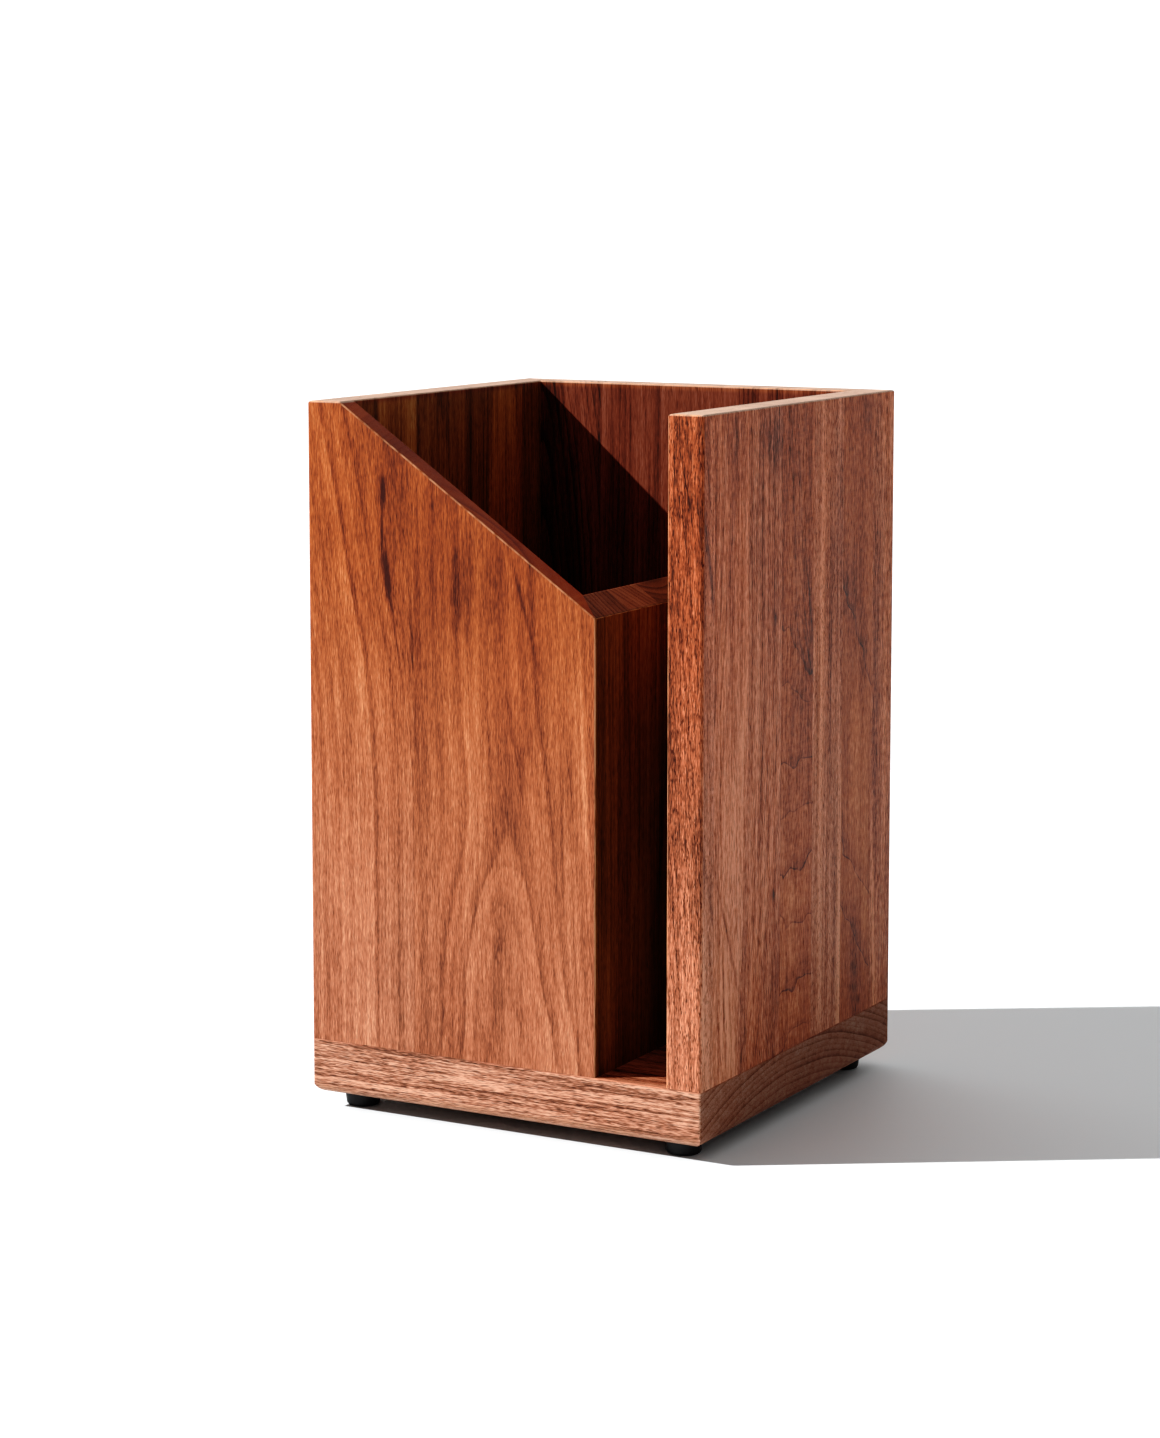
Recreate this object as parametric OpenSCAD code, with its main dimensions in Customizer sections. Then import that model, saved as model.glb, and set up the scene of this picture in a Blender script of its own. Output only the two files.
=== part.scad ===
// Umbrella stand: a square box of edge-glued walnut staves on a thick base slab.
// The front panel's top slopes down to a divider, which forms a tall open slot on the right.
// The origin is at the centre of the footprint, on the floor, with the front towards -Y.

/* [Box] */
// Side of the square footprint
box_w = 240; // [220:1:280]
// Height of the walls above the base slab
wall_h = 352; // [320:1:450]
// Thickness of the base slab
base_t = 30.5; // [26:0.5:40]
// Thickness of the left, back and right walls
wall_t = 20.5; // [18:0.5:24]
// Thickness of the front panel
front_t = 14.3; // [13:0.1:18]
// Thickness of the divider
divider_t = 16; // [14:0.5:20]
// Width of the slot between the divider and the right wall
slot_w = 42; // [34:1:50]
// Height of the sloped top's low end above the base slab
slope_low_h = 244; // [200:1:290]

/* [Edges] */
// Radius of the box's four upright corners
corner_r = 1.5; // [1:0.1:4]
// Radius of the outer top edges at the front and right
top_r = 1.2; // [0.5:0.1:3]
// Radius of the left wall's outer top edge
left_top_r = 3; // [0.5:0.1:4]
// Radius of the back wall's outer top edge
back_top_r = 3.5; // [0.5:0.1:4]
// Radius of the softened inner and sloped edges
arris_r = 1; // [0.4:0.1:1.5]
// Radius of the right wall's inner top edge
right_top_r = 2.4; // [0.5:0.1:3]
// Radius of the slope's low corner on the front panel
slope_corner_r = 3.5; // [1:0.5:5]
// Radius of the base slab's bottom edges
base_bottom_r = 7; // [1:0.5:8]
// Radius of the base slab's top edges
base_top_r = 0.5; // [0.2:0.1:1]

/* [Joinery] */
// Diameter of the hidden dowels
dowel_d = 8; // [6:1:8]
// Length of the hidden dowels
dowel_l = 32; // [26:1:36]
// Thickness of the splines hidden in the mitres
spline_t = 3; // [2:0.5:4]
// Width of the splines hidden in the mitres
spline_w = 10; // [8:1:12]
// Glue gap around dowels, splines and screws
glue_gap = 0.05; // [0.05:0.01:0.15]

/* [Feet] */
// Height of a rubber foot
foot_h = 8.5; // [7:0.5:12]
// Diameter of a foot near the floor
foot_d = 18.4; // [17:0.1:24]
// Angle by which a foot widens upwards
foot_taper = 8; // [0:1:12]
// Radius of a foot's lower edge
foot_edge_r = 1.8; // [1:0.1:2.5]
// Distance from the box's sides to a foot's centre
foot_inset = 20; // [16:1:30]
// Diameter of the recess for the screw's head
recess_d = 10.4; // [9:0.1:11]
// Shank diameter of a foot's screw
screw_d = 4; // [3:0.5:5]
// Length of a foot's screw below its head
screw_l = 19; // [14:1:25]

/* [Hidden] */
$fn = 48;
half = box_w / 2;
inner = half - wall_t;                  // inner faces of the left, back and right walls
front_in = -half + front_t;             // inner face of the front panel
slot_x = inner - slot_w;                // the divider's face towards the slot
divider_x = slot_x - divider_t;         // the divider's face towards the main compartment
base_z = foot_h;
wall_z = foot_h + base_t;
top_z = wall_z + wall_h;
slope_z = wall_z + slope_low_h;
slope_run = slot_x + inner;
slope_angle = atan((top_z - slope_z) / slope_run);
slope_len = slope_run / cos(slope_angle);
slope_tangent = slope_corner_r * (1 - sin(slope_angle)) / cos(slope_angle);
over = 5;                               // how far cutting shapes reach past the wood

// Glue lines between staves, along the front (X), the sides (Y) and the back (X)
front_seams = [-53.5];
left_seams = [-80.5, -41, -1, 39, 77.5];
back_seams = [-59, -19, 21, 61];
right_seams = [-106.8, -66.8, -26.8, 13.2, 51.2, 91];
divider_seams = [-80.8, -48, -9, 31, 70];

// Upright dowels between the base slab and the walls, one in the middle of a stave
dowel_spots = concat(
    [for (x = [-87, 2]) [x, -half + front_t / 2]],
    [for (y = [-61, 19, 95]) [-half + wall_t / 2, y]],
    [for (x = [-88, 1, 88]) [x, half - wall_t / 2]],
    [for (y = [-87, -7, 71]) [half - wall_t / 2, y]],
    [for (y = [-64, 11, 85]) [slot_x - divider_t / 2, y]]);
// Heights above the base slab of the level dowels between the divider and the back wall
level_dowel_heights = [50, 130, 210];
dowel_in_base = 14;
dowel_in_back = 12;
spline_gap_low = 12;
spline_gap_top = 30;

washer_t = 1;
washer_d = 10;
recess_h = 5;
head_h = 2.3;
head_d = 7.4;

// ---- Outlines ----

function unit(v) = v / norm(v);

// The arc of radius r that rounds the corner p between the neighbours a and b
function corner_arc(a, p, b, r, steps = 8) = let (
    u = unit(a - p),
    v = unit(b - p),
    half_angle = acos(u * v) / 2,
    centre = p + unit(u + v) * r / sin(half_angle),
    first = p + u * r / tan(half_angle) - centre,
    last = p + v * r / tan(half_angle) - centre,
    start = atan2(first.y, first.x),
    turn = (atan2(last.y, last.x) - start + 540) % 360 - 180
) [for (i = [0 : steps]) centre + r * [cos(start + turn * i / steps), sin(start + turn * i / steps)]];

// An outline's points with each corner rounded by its own radius, where 0 keeps it sharp
function rounded(points, radii) = let (n = len(points)) [
    for (i = [0 : n - 1])
        each radii[i] == 0
            ? [points[i]]
            : corner_arc(points[(i + n - 1) % n], points[i], points[(i + 1) % n], radii[i])];

// A rectangle standing on z_low, with the corner radii [lower, lower, upper far, upper near]
function standing_rectangle(z_low, z_high, radii) = rounded(
    [[-half, z_low], [half, z_low], [half, z_high], [-half, z_high]], radii);

// ---- Directions ----

// Turns an XZ outline into a solid along Y, centred on the box
module along_y(points) rotate([90, 0, 0]) linear_extrude(box_w + 2 * over, center = true) polygon(points);

// Turns a YZ outline into a solid along X, centred on the box
module along_x(points) rotate([90, 0, 90]) linear_extrude(box_w + 2 * over, center = true) polygon(points);

// Turns an XY outline into an upright solid as tall as the walls
module upright(points) translate([0, 0, wall_z]) linear_extrude(wall_h) polygon(points);

// The square block between two heights, with its outer edges rounded: the lower ones by low_r, the left and
// back upper ones by left_r and back_r, and the right and front upper ones by high_r
module outer_block(z_low, z_high, low_r, high_r, left_r, back_r) intersection() {
    translate([0, 0, z_low]) linear_extrude(z_high - z_low) polygon(rounded(
        [[-half, -half], [half, -half], [half, half], [-half, half]],
        [corner_r, corner_r, corner_r, corner_r]));
    along_y(standing_rectangle(z_low, z_high, [low_r, low_r, high_r, left_r]));
    along_x(standing_rectangle(z_low, z_high, [low_r, low_r, back_r, high_r]));
}

// The block that all four walls are cut from
module wall_block() outer_block(wall_z, top_z, 0, top_r, left_top_r, back_top_r);

// The waste outside a square corner at the origin that is rounded by r, with the wood towards -X and -Y
module corner_waste(r) polygon(concat(
    [[r, -r], [r, r], [-r, r]],
    [for (i = [0 : 8]) [-r + r * sin(90 * i / 8), -r + r * cos(90 * i / 8)]]));

// What to cut from a square edge along the X axis, with the wood towards -Y and -Z
module edge_cutter(length, r) rotate([90, 0, 90]) linear_extrude(length) corner_waste(r);

// What to cut from an upright front edge at x, with the wood towards -X, or +X where wood_right is true
module front_edge_cutter(x, z_high, wood_right = false) translate([x, -half, wall_z - over])
    linear_extrude(z_high - wall_z + over) mirror([wood_right ? 1 : 0, 0]) mirror([0, 1]) corner_waste(arris_r);

// Puts its children on the slope's upper line, with X running down the slope
module on_slope() translate([-inner, 0, top_z]) rotate([0, slope_angle, 0]) children();

// ---- Staves ----

// Keeps the stave of this number, counted from 1, between seams that cross the given axis
module stave(number, seams, axis) {
    edges = concat([-half - over], seams, [half + over]);
    low = edges[number - 1];
    width = edges[number] - low;
    tall = top_z + 2 * over;
    side = box_w + 2 * over;
    intersection() {
        children();
        if (axis == "x") translate([low, -side / 2, 0]) cube([width, side, tall]);
        else translate([-side / 2, low, 0]) cube([side, width, tall]);
    }
}

// What to cut from the front panel's edge down the slope, round its low corner and down the slot
module front_outline_cutters() {
    on_slope() translate([0, -half, 0]) mirror([0, 1, 0]) edge_cutter(slope_len - slope_tangent, arris_r);
    translate([slot_x - slope_corner_r, -half, slope_z - slope_tangent]) rotate([90, 0, 0])
        rotate_extrude(angle = 90 - slope_angle) translate([slope_corner_r, 0]) corner_waste(arris_r);
    front_edge_cutter(slot_x, slope_z - slope_tangent);
}

// ---- Walls, with mitred corners ----

module left_wall() difference() {
    intersection() {
        wall_block();
        upright([[-half, -half], [-inner, front_in], [-inner, inner], [-half, half]]);
    }
    translate([-inner, -half, top_z]) mirror([1, 0, 0]) rotate([0, 0, 90]) edge_cutter(box_w, arris_r);
    joinery_holes();
}

module back_wall() difference() {
    intersection() {
        wall_block();
        upright([[-half, half], [-inner, inner], [inner, inner], [half, half]]);
    }
    translate([-half, inner, top_z]) mirror([0, 1, 0]) edge_cutter(box_w, arris_r);
    joinery_holes();
}

module right_wall() difference() {
    intersection() {
        wall_block();
        upright([[inner, -half], [half, -half], [half, half], [inner, inner]]);
    }
    translate([inner, -half, top_z]) rotate([0, 0, 90]) edge_cutter(box_w, right_top_r);
    front_edge_cutter(inner, top_z + over, wood_right = true);
    joinery_holes();
}

// The front panel's upper outline: level over the left wall, then down the slope
module front_panel() difference() {
    intersection() {
        wall_block();
        upright([[-half, -half], [slot_x, -half], [divider_x, front_in], [-inner, front_in]]);
        along_y(rounded(
            [[-half - over, wall_z - over], [slot_x, wall_z - over], [slot_x, slope_z],
             [-inner, top_z], [-inner, top_z + over], [-half - over, top_z + over]],
            [0, 0, slope_corner_r, 0, 0, 0]));
    }
    front_outline_cutters();
    on_slope() translate([0, front_in, 0]) edge_cutter(slope_len, arris_r);
    joinery_holes();
}

module divider() difference() {
    intersection() {
        upright([[slot_x, -half], [slot_x, inner], [divider_x, inner], [divider_x, front_in]]);
        along_y(rounded(
            [[divider_x, wall_z - over], [slot_x, wall_z - over], [slot_x, slope_z],
             [divider_x, slope_z + divider_t * tan(slope_angle)]],
            [0, 0, arris_r, arris_r]));
    }
    front_outline_cutters();
    joinery_holes();
}

module base_slab() color("rosybrown") difference() {
    outer_block(base_z, wall_z, base_bottom_r, base_top_r, base_top_r, base_top_r);
    joinery_holes();
    for (spot = foot_spots()) translate([spot.x, spot.y, base_z - over])
        cylinder(d = screw_d + 2 * glue_gap, h = over + screw_l - (base_z - recess_h) + 2);
}

module front_board(number) color("peru") stave(number, front_seams, "x") front_panel();
module left_stave(number) color("sienna") stave(number, left_seams, "y") left_wall();
module back_stave(number) color("sienna") stave(number, back_seams, "x") back_wall();
module right_stave(number) color("sienna") stave(number, right_seams, "y") right_wall();
module divider_stave(number) color("saddlebrown") stave(number, divider_seams, "y") divider();

// ---- Hidden joinery ----

// All dowels, or their holes when they are made wider and longer by the gap
module dowel_set(gap) {
    for (spot = dowel_spots) translate([spot.x, spot.y, wall_z - dowel_in_base - gap])
        cylinder(d = dowel_d + 2 * gap, h = dowel_l + 2 * gap);
    for (height = level_dowel_heights)
        translate([slot_x - divider_t / 2, inner + dowel_in_back + gap, wall_z + height])
            rotate([90, 0, 0]) cylinder(d = dowel_d + 2 * gap, h = dowel_l + 2 * gap);
}

// A strip across the mitre that runs from an outer corner to an inner corner of the plan
module spline(outer, inner_corner, height, gap) {
    middle = outer + (inner_corner - outer) * 0.62;
    turn = atan2(inner_corner.y - outer.y, inner_corner.x - outer.x);
    translate([middle.x, middle.y, wall_z + spline_gap_low - gap]) rotate([0, 0, turn])
        translate([-spline_t / 2 - gap, -spline_w / 2 - gap, 0])
            cube([spline_t + 2 * gap, spline_w + 2 * gap, height - spline_gap_low - spline_gap_top + 2 * gap]);
}

module spline_front_left(gap = 0) color("tan") spline([-half, -half], [-inner, front_in], wall_h, gap);
module spline_front_right(gap = 0) color("tan")
    spline([slot_x, -half], [divider_x, front_in], slope_low_h, gap);
module spline_back_left(gap = 0) color("tan") spline([-half, half], [-inner, inner], wall_h, gap);
module spline_back_right(gap = 0) color("tan") spline([half, half], [inner, inner], wall_h, gap);
module dowels() color("burlywood") dowel_set(0);

module joinery_holes() {
    dowel_set(glue_gap);
    spline_front_left(glue_gap);
    spline_front_right(glue_gap);
    spline_back_left(glue_gap);
    spline_back_right(glue_gap);
}

// ---- Feet ----

function foot_spots() = [for (y = [-1, 1], x = [-1, 1]) [x, y] * (half - foot_inset)];

// A foot's half section: a rounded lower edge and a side that leans outwards
module foot_section() {
    centre = [foot_d / 2 - foot_edge_r, foot_edge_r];
    tangent = centre + foot_edge_r * [cos(foot_taper), -sin(foot_taper)];
    translate(centre) circle(foot_edge_r);
    polygon([[0, 0], [centre.x, 0], centre, tangent,
        [tangent.x + (foot_h - tangent.y) * tan(foot_taper), foot_h], [0, foot_h]]);
}

module foot(number) color("black") translate(foot_spots()[number]) difference() {
    rotate_extrude() foot_section();
    translate([0, 0, -over]) cylinder(d = recess_d, h = recess_h + over);
    cylinder(d = screw_d + 2 * glue_gap, h = foot_h + over);
}

module foot_washers() color("silver") for (spot = foot_spots())
    translate([spot.x, spot.y, recess_h - washer_t]) difference() {
        cylinder(d = washer_d, h = washer_t);
        translate([0, 0, -over]) cylinder(d = screw_d + 2 * glue_gap, h = washer_t + 2 * over);
    }

// A wood screw with a cross recess in its head, pointing up into the base slab
module foot_screw() {
    tip_h = 4;
    cross_w = 1.1;
    translate([0, 0, -head_h]) difference() {
        cylinder(d1 = head_d - 1.2, d2 = head_d, h = head_h);
        for (turn = [0, 90]) rotate([0, 0, turn])
            translate([-head_d / 4, -cross_w / 2, -over]) cube([head_d / 2, cross_w, over + head_h / 2]);
    }
    cylinder(d = screw_d, h = screw_l - tip_h);
    translate([0, 0, screw_l - tip_h]) cylinder(d1 = screw_d, d2 = 0.6, h = tip_h);
}

module foot_screws() color("silver") for (spot = foot_spots())
    translate([spot.x, spot.y, recess_h - washer_t]) foot_screw();

base_slab();
for (i = [1 : 2]) front_board(i);
for (i = [1 : 6]) left_stave(i);
for (i = [1 : 5]) back_stave(i);
for (i = [1 : 7]) right_stave(i);
for (i = [1 : 6]) divider_stave(i);
dowels();
spline_front_left();
spline_front_right();
spline_back_left();
spline_back_right();
foot(0);  // foot_front_left
foot(1);  // foot_front_right
foot(2);  // foot_back_left
foot(3);  // foot_back_right
foot_washers();
foot_screws();
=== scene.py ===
"""Walnut umbrella stand: materials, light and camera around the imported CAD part."""

import math
import random
from types import SimpleNamespace

import bpy
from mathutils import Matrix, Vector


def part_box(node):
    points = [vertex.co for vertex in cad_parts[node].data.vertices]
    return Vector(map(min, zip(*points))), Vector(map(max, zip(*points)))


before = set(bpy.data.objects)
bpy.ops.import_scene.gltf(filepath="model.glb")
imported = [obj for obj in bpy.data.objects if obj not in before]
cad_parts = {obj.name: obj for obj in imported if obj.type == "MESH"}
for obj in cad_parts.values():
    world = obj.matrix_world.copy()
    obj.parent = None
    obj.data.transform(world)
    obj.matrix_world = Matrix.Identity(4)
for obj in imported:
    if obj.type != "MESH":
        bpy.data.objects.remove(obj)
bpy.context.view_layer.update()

# ---- The part's own sizes, in millimetres ----

HALF = 120.0  # the outer faces, from the middle
INNER = 99.5  # the inner faces of the outer walls
SLOT_X = 57.5  # the divider's face in the slot
WALL_Z = 39.0  # the top of the base slab
TOP_Z = 391.0  # the rim
SLOPE = (0.5665, 0.0, 0.8241)  # the direction that the sloped top faces
MM = 1000.0

# Which coordinates run across the face, into the wood and along the grain
FRONT = ("X", "Y", "Z")
SIDE = ("Y", "X", "Z")
LYING = ("Y", "Z", "X")

# ---- Wood tones, from dark latewood to pale earlywood (linear RGB) ----

FRONT_TONES = (
    (0.0, (0.045, 0.008, 0.004)), (0.3, (0.19, 0.036, 0.011)), (0.55, (0.35, 0.078, 0.020)),
    (0.78, (0.47, 0.135, 0.041)), (1.0, (0.60, 0.24, 0.095)))
SIDE_TONES = (
    (0.0, (0.040, 0.011, 0.005)), (0.3, (0.19, 0.041, 0.014)), (0.55, (0.36, 0.085, 0.031)),
    (0.78, (0.48, 0.142, 0.060)), (1.0, (0.62, 0.24, 0.125)))
BASE_TONES = (
    (0.0, (0.08, 0.026, 0.014)), (0.3, (0.25, 0.085, 0.045)), (0.55, (0.43, 0.175, 0.100)),
    (0.78, (0.56, 0.280, 0.180)), (1.0, (0.68, 0.40, 0.28)))
# Sanded end grain on the rim
RIM_TONES = ((0.0, (0.30, 0.16, 0.10)), (0.5, (0.56, 0.36, 0.25)), (1.0, (0.72, 0.52, 0.39)))
# One growth ring from its dark line outwards
RING = ((0.0, 0.05), (0.04, 1.0), (0.16, 0.62), (0.5, 0.2), (1.0, 0.05))

EDGE_HIGHLIGHT_AND_WEAR = (0.78, 0.38, 0.20)  # painted highlight on the rounded edges, part of which is pale wear
PORE = (0.28, 0.20, 0.17)
PINKER = (1.0, 0.86, 0.80)  # the patches where the wood's colour drifts

# How one piece of wood looks. Lengths are in millimetres, and lightness changes are shares of the
# tones' whole range.
PLAIN = dict(
    tones=SIDE_TONES,
    base=0.55,  # the lightness that everything else changes
    tint=(1, 1, 1),  # colours the whole board apart from the rim
    # The growth rings
    centre=((0, 0), (400, 0)),  # (along, across) points of the log's heart
    taper=((0, 0), (400, 0)),  # (along, distance) by which rings move out, which draws flat-sawn arches
    pith=40.0,  # how far the heart lies behind the face
    face=0.0,  # the face's own coordinate
    ring=4.0,  # ring width
    ring_dark=0.25,
    end_rings=0.16,  # how much darker the rings are on end grain
    wander=5.0,  # how far the rings stray
    bands=(),  # (distance from the heart, lightness change) pairs
    swirls=(),  # (across, along, width, length, push) places where the rings bulge
    # Figure
    marks=(),  # (across, along, width, length, lean, lightness change) spots
    cross=(),  # (along at the centre, slope, width, lightness change) lines across the grain
    ripple=0.0,  # glints across the grain
    streaks=1.0,  # long fibres
    grain=1.0,  # fine flecks
    pores=1.0,  # how dark the pores are
    pore_size=(0.8, 9.0),  # their width and length
    # Painted light, painted shade and wear
    bloom=0.0,  # how much a painted glow from the floor pales the wood towards it
    front=0.0,  # lightness change on a side wall's end that faces -Y
    rubbed=1.0,  # how strong the painted edge highlight, partly wear, is
    end=(0.5, 0.42, 0.40),  # dims the end grain
    underside=None,  # painted shade that darkens a lower face
    inside=None,  # (axis, inner face, direction into the wood) where painted shade darkens the inner face
    dim=(0.64, 0.85, 0.90),  # the painted shade's colour
)


class Nodes:
    """Short ways to add nodes to one material."""

    def __init__(self, tree):
        self.tree = tree

    def add(self, kind, inputs=None, **settings):
        node = self.tree.nodes.new("ShaderNode" + kind)
        for name, value in settings.items():
            setattr(node, name, value)
        for name, value in (inputs or {}).items():
            self.put(node.inputs[name], value)
        return node

    def put(self, socket, value):
        if isinstance(value, bpy.types.NodeSocket):
            self.tree.links.new(value, socket)
        else:
            socket.default_value = value

    def math(self, operation, *values, clamp=False):
        node = self.add("Math", operation=operation, use_clamp=clamp)
        for socket, value in zip(node.inputs, values):
            self.put(socket, value)
        return node.outputs[0]

    def sum(self, *values):
        total = values[0]
        for value in values[1:]:
            total = self.math("ADD", total, value)
        return total

    def times(self, a, b):
        return self.math("MULTIPLY", a, b)

    def square(self, value):
        return self.math("POWER", value, 2.0)

    def stretch(self, vector, scale, offset=(0, 0, 0)):
        node = self.add("Mapping", {"Vector": vector, "Scale": scale, "Location": offset})
        return node.outputs[0]

    def millimetres(self):
        """The surface point in the part's own frame."""
        node = self.add("VectorMath", operation="SCALE")
        self.put(node.inputs[0], self.add("TexCoord").outputs["Object"])
        node.inputs["Scale"].default_value = MM
        return node.outputs[0]

    def noise(self, vector, scale=1.0, detail=2.0, roughness=0.5):
        """Noise from about -0.5 to 0.5."""
        settings = {"Vector": vector, "Scale": scale, "Detail": detail, "Roughness": roughness}
        return self.math("SUBTRACT", self.add("TexNoise", settings).outputs["Fac"], 0.5)

    def ramp(self, value, stops):
        """stops are (position, grey value or colour) pairs."""
        node = self.add("ValToRGB", {"Fac": value})
        elements = node.color_ramp.elements
        while len(elements) < len(stops):
            elements.new(1.0)
        for element, (position, colour) in zip(elements, stops):
            element.position = position
            element.color = (*colour, 1) if isinstance(colour, tuple) else (colour,) * 3 + (1,)
        return node.outputs["Color"]

    def step(self, value, low, high):
        """Rises smoothly from 0 at low to 1 at high, or falls if low is above high."""
        node = self.add("MapRange", {"Value": value, "From Min": low, "From Max": high},
                        interpolation_type="SMOOTHSTEP")
        return node.outputs["Result"]

    def curve(self, value, points):
        """A smooth curve through (value, result) points."""
        xs, ys = zip(*points)
        low, high = min(ys), max(ys)
        if high == low:
            return low
        span = xs[-1] - xs[0]
        place = self.add("MapRange", {"Value": value, "From Min": xs[0], "From Max": xs[-1]})
        node = self.add("FloatCurve", {"Value": place.outputs["Result"]})
        line = node.mapping.curves[0]
        for _ in points[2:]:
            line.points.new(0.5, 0.5)
        for point, x, y in zip(line.points, xs, ys):
            point.location = ((x - xs[0]) / span, (y - low) / (high - low))
        node.mapping.update()
        back = self.add("MapRange", {"Value": node.outputs[0], "To Min": low, "To Max": high})
        return back.outputs["Result"]

    def blend(self, share, a, b, mode="MIX"):
        node = self.add("Mix", data_type="RGBA", blend_type=mode)
        self.put(node.inputs["Factor"], share)
        for socket, value in ((node.inputs[6], a), (node.inputs[7], b)):
            self.put(socket, (*value, 1) if isinstance(value, tuple) else value)
        return node.outputs[2]

    def multiply(self, share, a, b):
        return self.blend(share, a, b, "MULTIPLY")


class Wood:
    """Solid walnut for one board, as a material. Its rings, fibres and pores run through the wood."""

    def __init__(self, name, axes, seed, **look):
        self.look = SimpleNamespace(**{**PLAIN, **look})
        self.material = bpy.data.materials.new(name)
        self.material.use_nodes = True
        self.n = n = Nodes(self.material.node_tree)
        dice = random.Random(seed)
        self.shift = [dice.uniform(-900, 900) for _ in range(3)]

        self.place = n.add("SeparateXYZ", {"Vector": n.millimetres()}).outputs
        self.height = self.place["Z"]
        self.across, self.into, self.along = (self.place[axis] for axis in axes)
        self.point = n.add("CombineXYZ", {"X": self.across, "Y": self.into, "Z": self.along}).outputs[0]
        self.normal = n.add("NewGeometry").outputs["Normal"]
        self.facing = n.add("SeparateXYZ", {"Vector": self.normal}).outputs
        # 1 on end grain
        self.ending = n.step(n.math("ABSOLUTE", self.facing[axes[2]]), 0.70, 0.80)
        self.rim = n.step(self.height, TOP_Z - 1.2, TOP_Z - 0.3)

        self.rings()
        self.fibres()
        self.figure()
        self.pores()
        self.colour()
        self.surface()

    def lengthen(self, width, length, turn):
        """The board's point on a scale where width and length are 1. turn gives another part of the noise."""
        moved = tuple(self.shift[(i + turn) % 3] for i in range(3))
        return self.n.stretch(self.point, (1 / width, 1 / width, 1 / length), moved)

    def field(self, width, length, detail=2.0, roughness=0.5, turn=0):
        """Noise with spots of this width across the grain and this length along it."""
        return self.n.noise(self.lengthen(width, length, turn), 1.0, detail, roughness)

    def off_grain(self, share):
        """1 along the grain, and less by this share on end grain."""
        return self.n.sum(1.0, self.n.times(self.ending, -share))

    def spot(self, x, z, width, length, lean=0.0):
        """1 in the middle of an ellipse on the face, falling off around it."""
        n = self.n
        dz = n.math("SUBTRACT", self.along, float(z))
        dx = n.sum(self.across, -float(x), n.times(dz, -lean), n.times(self.narrow, 0.35))
        far = n.sum(n.square(n.times(dx, 1 / width)), n.square(n.times(dz, 1 / length)))
        return n.math("EXPONENT", n.times(far, -1.0))

    def rings(self):
        """How far out from the heart the wood grew, and the growth rings there."""
        n, look = self.n, self.look
        wide = n.times(self.field(55, 260, 1), 2 * look.wander)
        self.narrow = n.times(self.field(9, 70, 2, turn=1), 0.45 * look.wander)
        heart = n.math("MULTIPLY", n.curve(self.along, look.centre), -1.0)
        sideways = n.sum(self.across, heart, wide, self.narrow)
        stray = n.times(self.field(70, 300, 1, turn=2), look.wander)
        inwards = n.sum(self.into, look.pith - look.face, stray)
        away = n.math("SQRT", n.sum(n.times(sideways, sideways), n.times(inwards, inwards)))
        ragged = n.times(self.field(1.2, 14, 2, turn=2), 0.9)
        self.grown = n.sum(away, -look.pith, n.curve(self.along, look.taper), ragged)
        for x, z, width, length, push in look.swirls:
            self.grown = n.sum(self.grown, n.times(self.spot(x, z, width, length), push))

        slow = n.add("CombineXYZ", {"X": n.times(self.grown, 0.35 / look.ring), "Y": self.shift[0]})
        uneven = n.times(n.noise(slow.outputs[0], 1.0, 1), 1.6)
        count = n.sum(n.times(self.grown, 1 / look.ring), uneven)
        self.part = n.math("FRACT", count)
        which = n.add("CombineXYZ", {"X": n.times(n.math("FLOOR", count), 7.31), "Y": self.shift[1],
                                     "Z": n.times(self.along, 0.012)})
        strength = n.sum(0.7, n.times(n.noise(which.outputs[0], 1.0, 1), 2.2))
        darker = n.sum(-look.ring_dark, n.times(self.ending, -look.end_rings))
        self.tone = n.times(n.times(n.ramp(self.part, RING), strength), darker)

    def fibres(self):
        """Long fibres, short flecks and broad clouds."""
        n, look = self.n, self.look
        long = n.sum(n.times(self.field(0.5, 16, 2, 0.6), 0.50),
                     n.times(self.field(1.3, 60, 2, turn=1), 0.50),
                     n.times(self.field(4.5, 170, 1, turn=2), 0.50))
        short = n.times(self.field(0.30, 4.5, 1, 0.7, turn=1), 0.85 * look.grain)
        self.fibre = n.times(n.sum(n.times(long, look.streaks), short), self.off_grain(0.75))
        cloud = n.sum(n.times(self.field(28, 150, 2, turn=2), 0.45),
                      n.times(self.field(5, 45, 2, 0.5), 0.16))
        self.tone = n.sum(look.base, self.tone, self.fibre, n.times(cloud, self.off_grain(0.6)))

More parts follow.
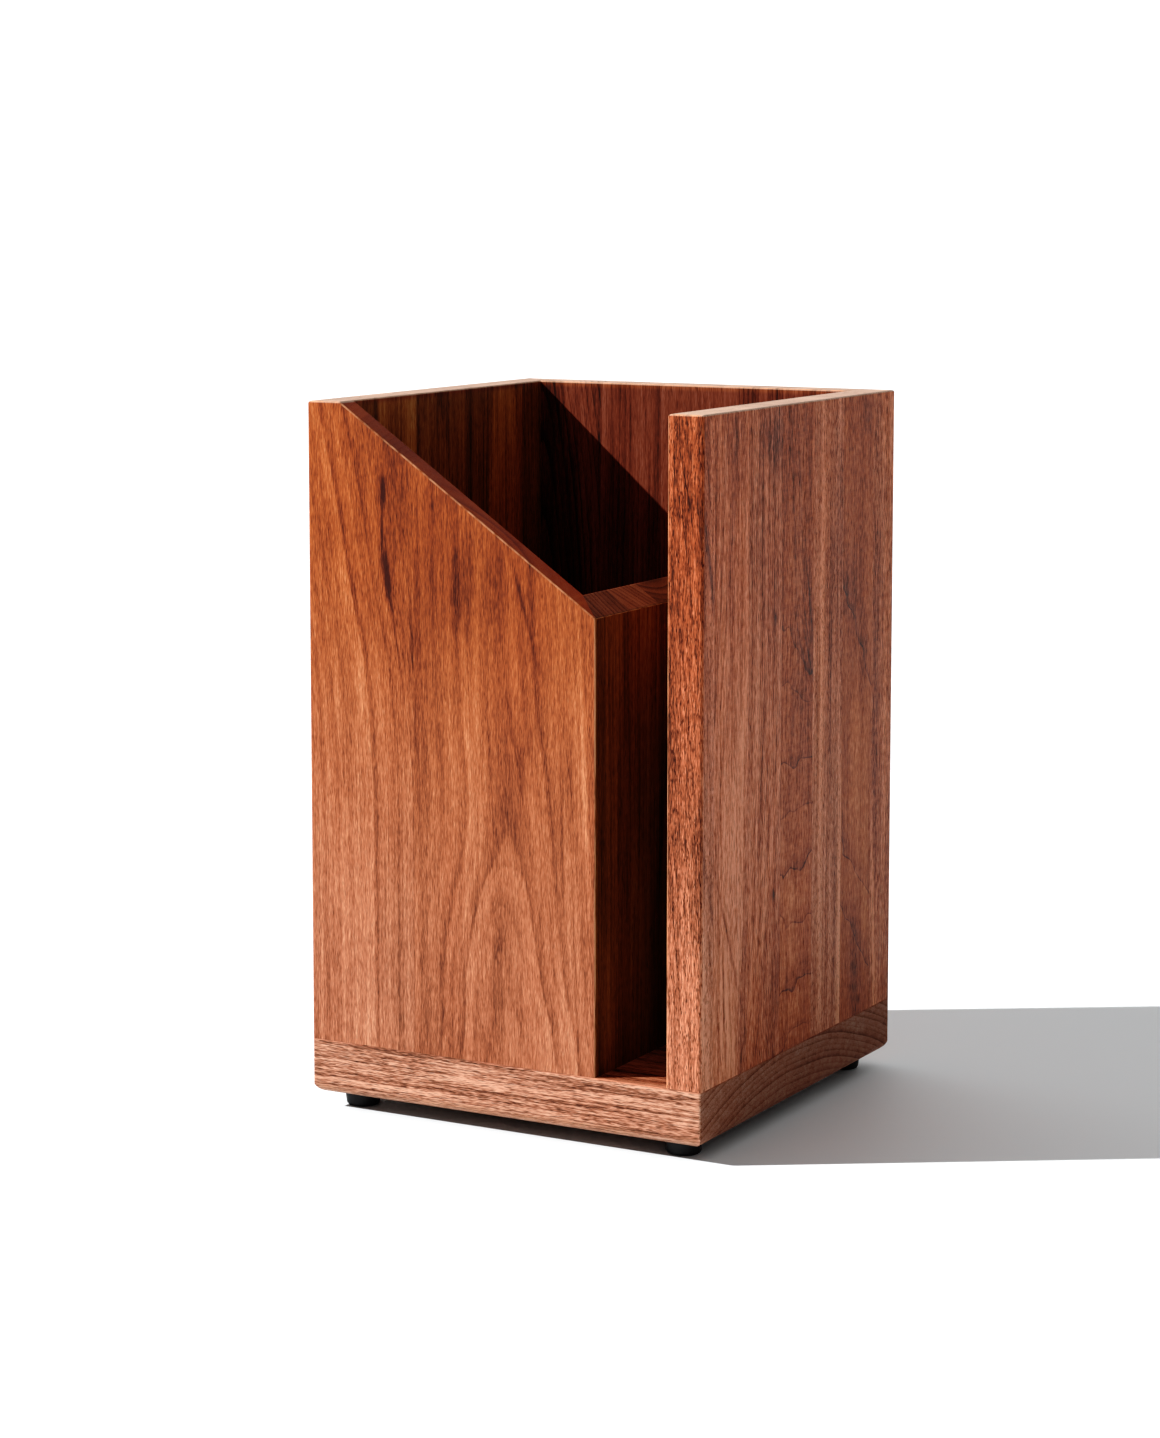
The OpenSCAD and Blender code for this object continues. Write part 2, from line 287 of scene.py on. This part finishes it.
    def figure(self):
        """Ripples, bands, spots and lines across the grain."""
        n, look = self.n, self.look
        if look.ripple:
            self.tone = n.sum(self.tone, n.times(self.field(7, 1.7, 2, 0.6, turn=2), look.ripple))
        if look.front:
            forwards = n.step(self.facing["Y"], -0.7, -0.8)
            self.tone = n.sum(self.tone, n.times(forwards, look.front))
        if look.bands:
            low, high = look.bands[0][0], look.bands[-1][0]
            share = n.math("DIVIDE", n.math("SUBTRACT", self.grown, low), high - low)
            stops = [((at - low) / (high - low), 0.5 + change) for at, change in look.bands]
            self.tone = n.sum(self.tone, n.math("SUBTRACT", n.ramp(share, stops), 0.5))
        for x, z, width, length, lean, change in look.marks:
            self.tone = n.sum(self.tone, n.times(self.spot(x, z, width, length, lean), change))
        for z, slope, width, change in look.cross:
            wave = n.times(self.field(15, 15, 1, 0.4, turn=1), 26.0)
            gap = n.sum(self.along, -float(z), n.times(self.across, -slope), wave)
            broken = n.step(self.field(11, 15, 1, turn=2), -0.34, 0.0)
            line = n.times(n.times(n.step(gap, -0.5, 0.2), n.step(gap, 1.7, 0.4)), broken)
            fade = n.times(n.step(gap, -0.4, 0.4), n.step(gap, width, 0.0))
            self.tone = n.sum(self.tone, n.times(line, 1.3 * change), n.times(fade, 0.5 * change))

    def pores(self):
        """Short dark dashes along the grain, dots on the end grain."""
        self.dashes = self.n.math("MAXIMUM", self.pore(1.0, 0.30, 1), self.pore(1.4, 0.22, 2))

    def pore(self, scale, size, turn):
        n = self.n
        width, length = (scale * side for side in self.look.pore_size)
        cells = n.add("TexVoronoi", {"Vector": self.lengthen(width, length, turn), "Scale": 1.0})
        crowd = n.sum(size, n.times(self.field(5, 40, 1, turn=turn), 0.26), n.times(self.part, -0.08))
        depth = n.math("SUBTRACT", crowd, cells.outputs["Distance"])
        return n.times(n.step(depth, -0.05, 0.07), n.step(cells.outputs["Color"], 0.0, 0.7))

    def edges(self):
        """1 on the rounded edges, apart from the outermost left and right ones, which carry a painted
        highlight that is partly pale wear.
        """
        n = self.n
        slope = n.add("VectorMath", {0: self.normal, 1: SLOPE}, operation="DOT_PRODUCT")
        flat = n.math("ABSOLUTE", slope.outputs["Value"])
        for axis in "XYZ":
            flat = n.math("MAXIMUM", flat, n.math("ABSOLUTE", self.facing[axis]))
        edge_highlight = n.times(n.step(flat, 0.985, 0.93), n.step(self.field(4, 20, 2), -0.25, 0.2))
        sideways = n.math("ABSOLUTE", self.place["X"])
        return n.times(edge_highlight, n.step(sideways, HALF - 1.5, HALF - 3.0))

    def colour(self):
        n, look = self.n, self.look
        colour = n.ramp(self.tone, look.tones)
        # Painted light: paler, less saturated wood towards the floor, as if lit by light bounced off it
        if look.bloom:
            floor_glow = n.times(n.step(self.height, 340.0, 40.0), look.bloom)
            colour = n.blend(floor_glow, colour, n.ramp(self.tone, BASE_TONES))
        patches = n.step(self.field(24, 150, 1, turn=1), -0.22, 0.22)
        colour = n.multiply(n.times(patches, 0.35), colour, PINKER)
        holes = n.math("MULTIPLY", self.dashes, 0.75 * look.pores, clamp=True)
        colour = n.multiply(holes, colour, PORE)
        colour = n.multiply(self.ending, colour, look.end)
        colour = n.blend(n.times(self.rim, 0.85), colour, n.ramp(self.tone, RIM_TONES))
        # Painted shade: inner faces below the rim are darkened
        if look.inside:
            axis, inner, into_wood = look.inside
            shade_depth = n.times(n.math("SUBTRACT", self.place[axis], inner), float(into_wood))
            below_rim = n.step(self.height, TOP_Z - 1.0, TOP_Z - 4.0)
            colour = n.multiply(n.times(n.step(shade_depth, 1.2, 0.2), below_rim), colour, look.dim)
        # Painted highlight on the rounded edges, partly pale wear
        colour = n.blend(n.times(self.edges(), 0.65 * look.rubbed), colour, EDGE_HIGHLIGHT_AND_WEAR)
        colour = n.multiply(n.math("SUBTRACT", 1.0, self.rim), colour, look.tint)
        # Painted shade on the faces that look down
        if look.underside:
            colour = n.multiply(n.step(self.facing["Z"], -0.7, -0.95), colour, look.underside)
        self.base_colour = colour

    def surface(self):
        """Gives the shader its colour, gloss and relief."""
        n = self.n
        shader = self.material.node_tree.nodes["Principled BSDF"]
        n.put(shader.inputs["Base Color"], self.base_colour)
        gloss = n.sum(0.50, n.times(self.fibre, -0.25), n.times(self.dashes, 0.25))
        n.put(shader.inputs["Roughness"], gloss)
        dull = n.times(self.ending, n.math("SUBTRACT", 1.0, self.rim))
        n.put(shader.inputs["Specular IOR Level"], n.sum(0.18, n.times(dull, -0.14)))
        relief = n.sum(n.times(self.dashes, -1.0), n.times(self.fibre, 0.5))
        bump = n.add("Bump", {"Strength": 0.5, "Distance": 0.00012, "Height": relief})
        n.put(shader.inputs["Normal"], bump.outputs["Normal"])


def dress(node, material):
    """Gives every face of a CAD node this material."""
    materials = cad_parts[node].data.materials
    materials.clear()
    materials.append(material)


def board(node, name, axes, seed, **look):
    """Makes a CAD node of its own piece of wood."""
    dress(node, Wood(name, axes, seed, **look).material)


# ---- Front panel ----

def front_panel():
    common = dict(tones=FRONT_TONES, face=-HALF, pores=0.7, pore_size=(0.55, 5.0), end=(0.80, 0.60, 0.50),
                  end_rings=-0.08)
    board(
        "front_board_1", "walnut_front_1", FRONT, 11, pith=20, ring=2.6, ring_dark=0.19, wander=1.5,
        base=0.595, bloom=0.60, streaks=0.50, grain=1.5,
        centre=((0, -200), (170, -200), (231, -203), (271, -209), (300, -215), (340, -222), (391, -234)),
        bands=((60, 0.05), (66, 0.0), (70, 0.05), (72, -0.14), (74, 0.07), (78, 0.02), (79.5, -0.12),
               (82, 0.06), (86, 0.02), (87.5, -0.08), (90, 0.02), (95, 0.0), (97, 0.10), (101.5, 0.12),
               (103.5, -0.19), (106, 0.0), (110, 0.08), (112, 0.02), (113, -0.08), (115, 0.06),
               (118, -0.17), (121, 0.03), (126, 0.0), (128.5, -0.14)),
        swirls=((-70, 344, 5, 14, 3), (-70, 298, 6, 20, 4)),
        marks=(
            # The two knots and the dark dash between them
            (-72, 344, 1.5, 7, -0.02, -0.9), (-70, 298, 1.7, 12, -0.10, -0.9),
            (-73, 321, 0.8, 16, 0.02, -0.4),
            # Thin dark dashes below them
            (-65, 268, 0.8, 26, -0.16, -0.35), (-54.5, 262, 0.9, 22, -0.04, -0.5),
            # Broad lighter and darker areas
            (-88, 360, 6, 40, -0.3, -0.10), (-60, 345, 8, 50, -0.25, -0.14), (-95, 280, 4, 60, -0.14, 0.12),
            (-104, 165, 12, 75, 0, 0.09), (-62, 165, 10, 75, 0, 0.09), (-104, 322, 11, 18, 0, -0.14),
            (-83, 275, 10, 25, 0, -0.06)),
        **common)
    board(
        "front_board_2", "walnut_front_2", FRONT, 12, pith=25, ring=4.4, ring_dark=0.13, wander=1.6,
        base=0.575, bloom=0.50, streaks=0.55, grain=1.4,
        # The tall arch of a flat-sawn board
        centre=((0, 6), (40, 5), (60, 4.5), (95, 1.5), (130, 2.5), (163, 5), (230, -1), (300, -4),
                (391, -5)),
        taper=((0, -3), (40, 0.7), (60, 2.6), (95, 6), (130, 10.1), (163, 14), (200, 15.4), (391, 16.5)),
        bands=((0, -0.05), (3.2, -0.02), (3.8, -0.18), (5, 0.0), (9, 0.04), (13.7, 0.10), (14.2, -0.22),
               (16, -0.11), (18.5, 0.02), (19.8, -0.02), (20.5, -0.13), (22, 0.03), (24, 0.0),
               (25.3, -0.22), (27.5, -0.10), (32, -0.02), (36, -0.10), (42, -0.04), (47, -0.08)),
        swirls=((0, 96, 6, 22, -3.5),),
        marks=(
            # The pale flame over the arch and the pale lines by the divider
            (-17, 200, 9, 60, 0.0, 0.24), (50, 215, 1.5, 75, -0.042, 0.34), (45, 240, 1.2, 60, -0.042, 0.16),
            # Dark dashes
            (-24, 300, 8, 26, 0.06, -0.26), (14, 288, 1.2, 24, -0.28, -0.34), (0, 76, 4, 30, 0.0, -0.14),
            (38, 150, 1.2, 60, -0.03, -0.26), (46, 85, 1.0, 50, -0.04, -0.24),
            # Broad lighter and darker areas
            (-42, 290, 12, 70, 0.0, -0.13), (-18, 280, 12, 20, 0, -0.07), (2, 122, 10, 20, 0, -0.13),
            (22, 165, 10, 45, 0, 0.09), (42, 110, 14, 130, 0.0, 0.13), (-2, 300, 14, 30, 0.0, -0.12)),
        **common)


# ---- Right wall ----

def right_wall():
    # The inner faces carry painted shade
    common = dict(face=HALF, inside=("X", INNER, 1))
    board(
        "right_stave_1", "walnut_right_1", SIDE, 21, pith=60, ring=3.0, ring_dark=0.30, base=0.69,
        tint=(1.10, 1.0, 0.94), bloom=0.68, front=-0.17, streaks=1.6, grain=2.6, ripple=0.2,
        pores=1.8, pore_size=(0.8, 3.6),
        centre=((0, -130), (200, -160), (400, -190)),
        marks=(
            (-112, 312, 2.2, 26, -0.22, -0.6), (-108, 130, 1.5, 45, -0.30, -0.30),
            (-118, 155, 1.2, 20, 0, -0.3), (-113, 352, 9, 40, 0, -0.05), (-113, 60, 30, 80, 0, 0.11)),
        **common)
    board(
        "right_stave_2", "walnut_right_2", SIDE, 22, pith=35, ring=3.8, ring_dark=0.36, base=0.72,
        tint=(1.10, 1.03, 0.98), bloom=0.30, streaks=1.7, grain=2.2, ripple=0.28,
        centre=((0, -84), (150, -84), (260, -80), (391, -78)),
        taper=((0, 10), (90, 3), (150, 0), (210, 1), (300, 5), (391, 8)),
        marks=(
            # Pale patches in the middle and upper half; the first one is a painted sheen
            (-83, 162, 13, 46, 0.05, 0.42), (-71, 236, 3.5, 34, 0.12, 0.42), (-76, 335, 3, 60, 0.0, 0.10),
            (-98, 252, 6, 65, 0, 0.28),
            # The pale and dark streaks near the floor
            (-97, 85, 1.6, 50, -0.05, 0.36), (-90, 72, 2.2, 48, -0.10, 0.36),
            (-93.5, 78, 0.9, 46, -0.08, -0.3), (-84, 70, 1.2, 40, -0.10, 0.2),
            (-72, 66, 6, 52, 0.0, -0.36), (-90, 116, 1.3, 32, -0.42, -0.42),
            # Dark lines and the darker top
            (-65.5, 235, 1.6, 40, -0.05, -0.36), (-104, 340, 2.5, 60, 0.0, -0.12),
            (-86, 330, 2.5, 70, 0.02, -0.16), (-66, 175, 2, 40, 0.08, -0.2), (-80, 376, 25, 20, 0, -0.15)),
        **common)
    board(
        "right_stave_3", "walnut_right_3", SIDE, 23, pith=25, ring=2.4, ring_dark=0.46, base=0.68,
        tint=(1.03, 0.98, 0.94), wander=3.0, streaks=1.6, grain=2.4, ripple=0.16, pores=1.8,
        centre=((0, -185), (130, -162), (240, -150), (391, -154)),
        marks=(
            # Two pin knots
            (-34, 277, 1.4, 3.5, 0, -0.6), (-35, 128, 1.6, 2.5, 0, -0.8),
            # Leaning streaks
            (-44, 130, 2.6, 70, 0.22, 0.40), (-54, 120, 2.2, 70, 0.20, 0.32), (-31, 70, 6, 50, 0.1, -0.26),
            (-48, 210, 1.2, 45, 0.1, -0.2),
            # Broad lighter and darker areas
            (-58, 325, 8, 50, 0, -0.13), (-46, 374, 8, 18, 0, -0.28), (-33, 374, 8, 20, 0, -0.42),
            (-33, 286, 8, 22, 0, -0.13), (-46, 205, 10, 36, 0, 0.15), (-60, 190, 6, 60, 0, 0.12)),
        **common)
    board(
        "right_stave_4", "walnut_right_4", SIDE, 24, pith=25, ring=2.6, ring_dark=0.20, base=0.51,
        tint=(1.0, 0.91, 0.74), wander=4.0, grain=2.0, ripple=0.4,
        centre=((0, -7), (220, -7), (391, -7)), taper=((0, 0), (220, 2), (280, 8), (391, 16)),
        marks=(
            # Thin lines that curve together
            (8, 284, 0.9, 24, -0.20, -0.40), (3, 274, 0.9, 24, -0.28, -0.34), (6, 256, 0.9, 18, -0.42, -0.34),
            (-4, 262, 0.8, 22, -0.42, -0.24), (11, 268, 3.5, 30, -0.1, -0.16),
            (-12, 330, 0.8, 60, -0.08, -0.24), (-3, 330, 0.8, 50, -0.10, -0.20),
            # Broad lighter and darker areas
            (-7, 110, 40, 80, 0, 0.20), (-10, 122, 9, 9, 0, 0.14), (-8, 62, 10, 9, 0, 0.14),
            (-20, 250, 6, 50, 0, 0.17), (-6, 362, 7, 35, 0, -0.13)),
        cross=((250, -0.9, 12, -0.2), (232, -0.5, 14, -0.14), (195, 0.0, 12, -0.24), (168, 0.1, 12, -0.16),
               (137, 0.2, 14, -0.34), (107, -0.1, 12, -0.22), (75, 0.2, 14, -0.34), (46, 0.1, 10, -0.2)),
        **common)
    board(
        "right_stave_5", "walnut_right_5", SIDE, 25, pith=30, ring=2.8, ring_dark=0.22, base=0.665,
        tint=(1.04, 0.99, 0.91), wander=2.0, bloom=0.25, streaks=1.5, grain=2.8, pores=2.0,
        pore_size=(1.0, 3.2),
        centre=((0, 130), (400, 134)),
        marks=(
            # The pale streak, and sapwood along the seam
            (24, 230, 2.5, 150, 0.01, 0.34), (50.5, 80, 3.4, 75, 0.0, 1.0),
            (44, 110, 3.5, 60, 0.0, -0.24), (36, 230, 1.8, 120, 0.0, -0.18), (46, 335, 8, 90, 0, -0.32),
            (20, 376, 8, 18, 0, -0.18)),
        **common)
    board(
        "right_stave_6", "walnut_right_6", SIDE, 26, pith=45, ring=6.0, ring_dark=0.10, base=0.515,
        tint=(0.95, 0.81, 0.54), wander=5.0, streaks=0.8, grain=2.2, ripple=0.24, pores=0.6,
        centre=((0, 70), (400, 66)), taper=((0, 3), (200, 0), (400, 6)),
        marks=(
            (70, 60, 12, 40, -0.2, -0.18), (72, 185, 9, 50, 0, 0.14), (57, 285, 8, 18, 0, -0.18),
            (57, 90, 8, 60, 0, 0.22), (70, 262, 8, 40, 0, -0.15), (84, 250, 8, 25, 0, -0.17),
            (84, 378, 9, 14, 0, -0.15), (84, 112, 8, 40, 0, 0.18)),
        cross=((372, -1.6, 10, -0.34), (186, -0.9, 26, -0.30), (156, -1.0, 20, -0.30)),
        **common)
    board(
        "right_stave_7", "walnut_right_7", SIDE, 27, pith=35, ring=3.2, ring_dark=0.24, base=0.64,
        tint=(1.05, 0.97, 0.84), wander=2.5, streaks=1.6, grain=2.6, ripple=0.34, pores=1.6,
        centre=((0, 190), (180, 196), (400, 186)),
        marks=(
            (98, 200, 5, 150, 0.0, -0.24), (111, 190, 2.0, 160, 0.0, 0.28), (97, 72, 2.2, 60, -0.05, 0.8),
            (97, 376, 5, 20, 0, -0.16), (109, 205, 7, 20, 0, 0.14)),
        **common)


# ---- Walls seen from inside, and the divider ----

def random_bands(seed, low, high, bold):
    """Broad light and dark bands for a board that the eye only sees in passing."""
    dice = random.Random(seed)
    bands, at = [], low
    while at < high and len(bands) < 30:
        bands.append((at, bold * dice.uniform(-0.13, 0.13)))
        at += dice.uniform(2.5, 9.0)
    return bands + [(high, 0.0)]


def plain_staves(stem, axes, seed, tones, lit=(), bold=1.0, dim=PLAIN["dim"], **look):
    """The staves of a wall, each cut from another board. tones are their lightness changes, lit scales
    the painted shade on each one's inner face, and bold is how strong their grain is."""
    dice = random.Random(seed)
    for i, change in enumerate(tones, 1):
        node = f"{stem}_stave_{i}"
        low, high = (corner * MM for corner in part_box(node))
        axis = "XYZ".index(axes[0])
        middle = (low[axis] + high[axis]) / 2
        flat_sawn = dice.random() < 0.4
        heart = middle + (dice.uniform(-8, 8) if flat_sawn else dice.choice((-1, 1)) * dice.uniform(60, 140))
        lean = dice.uniform(-14, 14)
        taper = ((0, 0), (dice.uniform(90, 250), dice.uniform(2, 8)), (400, dice.uniform(10, 20)))
        light = lit[i - 1] if lit else 1.0
        board(
            node, f"walnut_{stem}_{i}", axes, seed * 10 + i, pith=dice.uniform(25, 55),
            centre=((0, heart), (200, heart + lean * 0.3), (400, heart + lean)),
            taper=taper if flat_sawn else PLAIN["taper"], ring=dice.uniform(2.6, 5.0),
            ring_dark=bold * dice.uniform(0.18, 0.32), base=0.47 + change, wander=dice.uniform(2.5, 5.0),
            bands=random_bands(seed * 10 + i, 0, 110, bold), pores=dice.uniform(0.6, 1.1),
            dim=tuple(light * c for c in dim), **look)


def other_walls():
    rim_end = (0.80, 0.84, 0.84)
    # Each wall's and the divider's inner faces carry painted shade; lit scales it per stave
    plain_staves("left", SIDE, 31, (0.0, 0.08, 0.05, 0.0, 0.12, -0.06), lit=(1, 1.4, 1.05, 1.05, 1.55, 1),
                 face=-HALF, inside=("X", -INNER, -1), dim=(1.0, 1.32, 0.97), tint=(0.76, 0.88, 0.98),
                 end=rim_end)
    plain_staves("back", FRONT, 32, (-0.08, 0.03, 0.05, 0.0, 0.02), bold=1.8,
                 face=HALF, inside=("Y", INNER, 1), dim=(0.63, 0.59, 0.76), tint=(0.88, 0.95, 1.02),
                 end=rim_end)
    plain_staves("divider", SIDE, 33, (-0.08, 0.03, -0.10, -0.05, -0.08, -0.05),
                 face=SLOT_X, inside=("X", SLOT_X, -1), dim=(0.64, 0.92, 0.76), end=(0.82, 1.08, 1.35))


def base_slab():
    board(
        "base_slab", "walnut_base", LYING, 41, tones=BASE_TONES, face=WALL_Z, pith=300, ring=3.4,
        ring_dark=0.38, base=0.655, wander=4.0, streaks=3.0, grain=2.6, pores=1.8, pore_size=(0.6, 9.0),
        centre=((-HALF, -8), (HALF, -8)), marks=((-HALF, -85, 50, 50, 0.0, -0.06),),
        # Painted shade on the slab's top inside the box and slot, and on its underside
        inside=("Z", WALL_Z, -1), dim=(0.95, 0.70, 0.60), rubbed=0.4, end=(0.61, 0.65, 0.72),
        end_rings=0.05, underside=(0.45, 0.55, 0.65))


# ---- Rubber, steel and hidden joinery ----

def simple(name, colour, roughness, metallic=0.0, grain=(1.5, 1.5, 1.5), specular=0.5):
    """A plain material with fine specks, or streaks where grain is stretched, that also change its gloss."""
    material = bpy.data.materials.new(name)
    material.use_nodes = True
    n = Nodes(material.node_tree)
    shader = material.node_tree.nodes["Principled BSDF"]
    fine = n.noise(n.stretch(n.millimetres(), grain), 1.0, 3, 0.6)
    dark = tuple(0.6 * c for c in colour)
    n.put(shader.inputs["Base Color"], n.ramp(n.math("ADD", fine, 0.5), ((0.25, dark), (0.75, colour))))
    n.put(shader.inputs["Roughness"], n.sum(roughness, n.times(fine, 0.25)))
    shader.inputs["Metallic"].default_value = metallic
    shader.inputs["Specular IOR Level"].default_value = specular
    bump = n.add("Bump", {"Strength": 0.3, "Distance": 0.0001, "Height": fine})
    n.put(shader.inputs["Normal"], bump.outputs["Normal"])
    return material


def fittings():
    rubber = simple("rubber", (0.018, 0.018, 0.019), 0.65, specular=0.35)
    steel = simple("steel", (0.62, 0.61, 0.59), 0.32, metallic=1.0)
    beech = simple("beech", (0.62, 0.40, 0.22), 0.6, grain=(1.2, 1.2, 0.04))
    plywood = simple("plywood", (0.55, 0.38, 0.22), 0.6, grain=(1.6, 1.6, 0.05))
    for corner in ("front_left", "front_right", "back_left", "back_right"):
        dress("foot_" + corner, rubber)
        dress("spline_" + corner, plywood)
    dress("foot_washers", steel)
    dress("foot_screws", steel)
    dress("dowels", beech)


# ---- Camera, light and floor ----

def camera():
    data = bpy.data.cameras.new("camera")
    data.sensor_width = 36
    data.lens = 86.155
    data.shift_y = -0.10
    data.clip_start, data.clip_end = 0.1, 100
    eye = bpy.data.objects.new("camera", data)
    eye.location = (0.9072, -1.6742, 0.5112)
    looks_down, turned_left = math.radians(6.612), math.radians(28.924)
    eye.rotation_euler = (math.pi / 2 - looks_down, 0, turned_left)
    bpy.context.scene.collection.objects.link(eye)
    bpy.context.scene.camera = eye


def sunlight():
    """One hard light from the front left."""
    data = bpy.data.lights.new("sun", "SUN")
    data.energy = 4.8
    data.angle = math.radians(0.7)
    sun = bpy.data.objects.new("sun", data)
    x, y, z = 0.680, 0.429, 0.595
    sun.rotation_euler = (math.acos(z), 0, math.atan2(y, x) - math.pi / 2)
    bpy.context.scene.collection.objects.link(sun)


def sky():
    """A studio's soft light: a bright white backdrop behind the stand, and dimmer walls elsewhere."""
    world = bpy.data.worlds.new("studio")
    bpy.context.scene.world = world
    world.use_nodes = True
    n = Nodes(world.node_tree)
    towards = n.add("VectorMath", operation="DOT_PRODUCT")
    n.put(towards.inputs[0], n.add("TexCoord").outputs["Generated"])
    towards.inputs[1].default_value = (-0.45, 0.81, 0.37)
    white = n.ramp(towards.outputs["Value"], ((0.0, 0.20), (0.45, 0.25), (0.82, 1.0), (1.0, 1.0)))
    background = world.node_tree.nodes["Background"]
    n.put(background.inputs["Color"], white)
    background.inputs["Strength"].default_value = 1.1


def floor():
    size = 20.0
    corners = [(x * size, y * size, 0) for x, y in ((-1, -1), (1, -1), (1, 1), (-1, 1))]
    mesh = bpy.data.meshes.new("floor")
    mesh.from_pydata(corners, [], [(0, 1, 2, 3)])
    plane = bpy.data.objects.new("floor", mesh)
    bpy.context.scene.collection.objects.link(plane)
    material = bpy.data.materials.new("floor")
    material.use_nodes = True
    shader = material.node_tree.nodes["Principled BSDF"]
    shader.inputs["Base Color"].default_value = (0.90, 0.935, 0.95, 1)
    shader.inputs["Roughness"].default_value = 0.6
    shader.inputs["Specular IOR Level"].default_value = 0.2
    mesh.materials.append(material)


def tone_curve():
    """Deepens the shadows, as in a contrasty studio picture."""
    view = bpy.context.scene.view_settings
    view.view_transform = "Standard"
    view.use_curve_mapping = True
    combined = view.curve_mapping.curves[3]
    for x, y in ((0.02, 0.007), (0.05, 0.030), (0.12, 0.104), (0.4, 0.41)):
        combined.points.new(x, y)
    combined.points[-1].location = (0.94, 1.0)
    view.curve_mapping.update()


front_panel()
right_wall()
other_walls()
base_slab()
fittings()
camera()
sunlight()
sky()
floor()
tone_curve()
